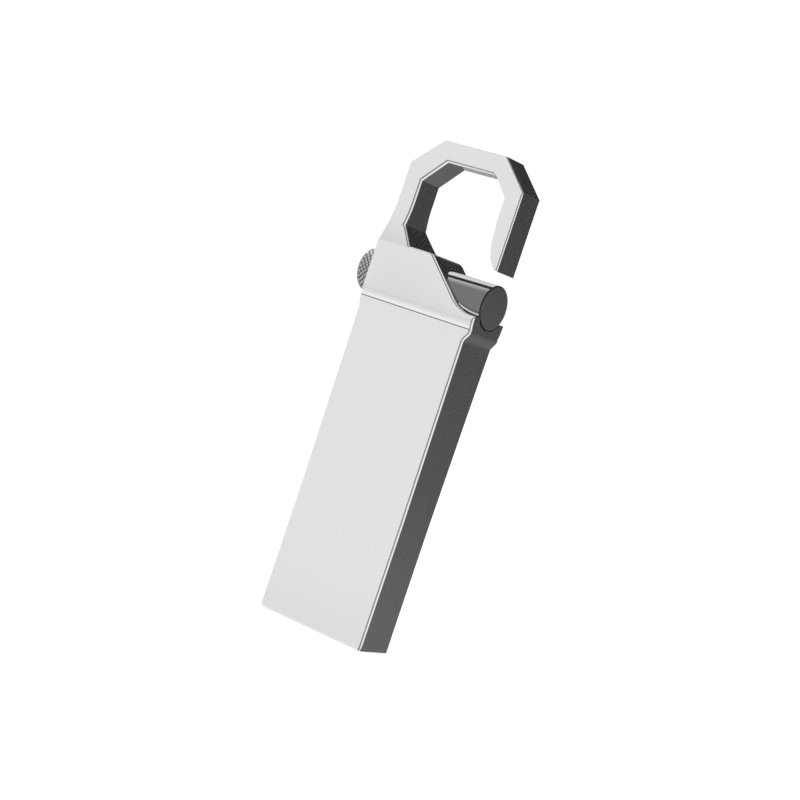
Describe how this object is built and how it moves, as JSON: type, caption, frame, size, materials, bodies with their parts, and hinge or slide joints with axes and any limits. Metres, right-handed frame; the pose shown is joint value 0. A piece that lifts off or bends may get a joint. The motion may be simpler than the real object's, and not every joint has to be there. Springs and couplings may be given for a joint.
{
  "type": "usb flash drive",
  "caption": "Slim metal flash drive without a cap: a flat bar that is its own plug, cast in one with an octagonal snap hook closed by a sprung barrel with a knurled knob",
  "frame": {"origin": "middle of the plug mouth, on the plane of the plug's end", "axes": "+Z runs along the drive from the plug mouth to the hook, X is across its width along the gate barrel with the knurled knob at -X, and -Y is the plain front face"},
  "size_m": [0.0145, 0.0052, 0.0459],
  "materials": {
    "plated_zinc": "bright satin plating over die-cast zinc",
    "black_plastic": "matt moulded",
    "adhesive": "translucent film",
    "epoxy": "matt moulding compound",
    "solder_mask": "black solder mask",
    "gold_plate": "gold plating",
    "silicon": "polished silicon",
    "ceramic": "sintered ceramic",
    "resistor_black": "glazed",
    "polished_steel": "mirror polished",
    "knurled_steel": "diamond knurled",
    "screw_steel": "turned",
    "spring_steel": "drawn wire",
    "brass_washer": "stamped"
  },
  "bodies": {
    "drive": {"hook_body": "plated_zinc", "plug_carrier": "black_plastic", "adhesive_pad": "adhesive", "epoxy_mould": "epoxy", "module_board": "solder_mask", "contact_pads": "gold_plate", "test_pads": "gold_plate", "controller_die": "silicon", "flash_die_lower": "silicon", "flash_die_upper": "silicon", "die_attach_films": "adhesive", "capacitors": "ceramic", "resistors": "resistor_black", "bond_wires": "gold_plate"},
    "gate_slide": {"thrust_washer": "brass_washer", "return_spring": "spring_steel"},
    "gate": {"gate_barrel": "polished_steel", "knurled_knob": "knurled_steel", "knob_screw": "screw_steel"}
  },
  "joints": [
    {"name": "gate_pull", "type": "slide", "parent": "drive", "child": "gate_slide", "axis": [-1, 0, 0], "range_m": [0, 0.0031], "stiffness_N_per_m": 600, "springref_m": -0.001, "deforming": ["return_spring"]},
    {"name": "gate_turn", "type": "hinge", "parent": "gate_slide", "child": "gate", "pos_m": [0, 0, 0.0327], "axis": [1, 0, 0], "continuous": true}
  ]
}
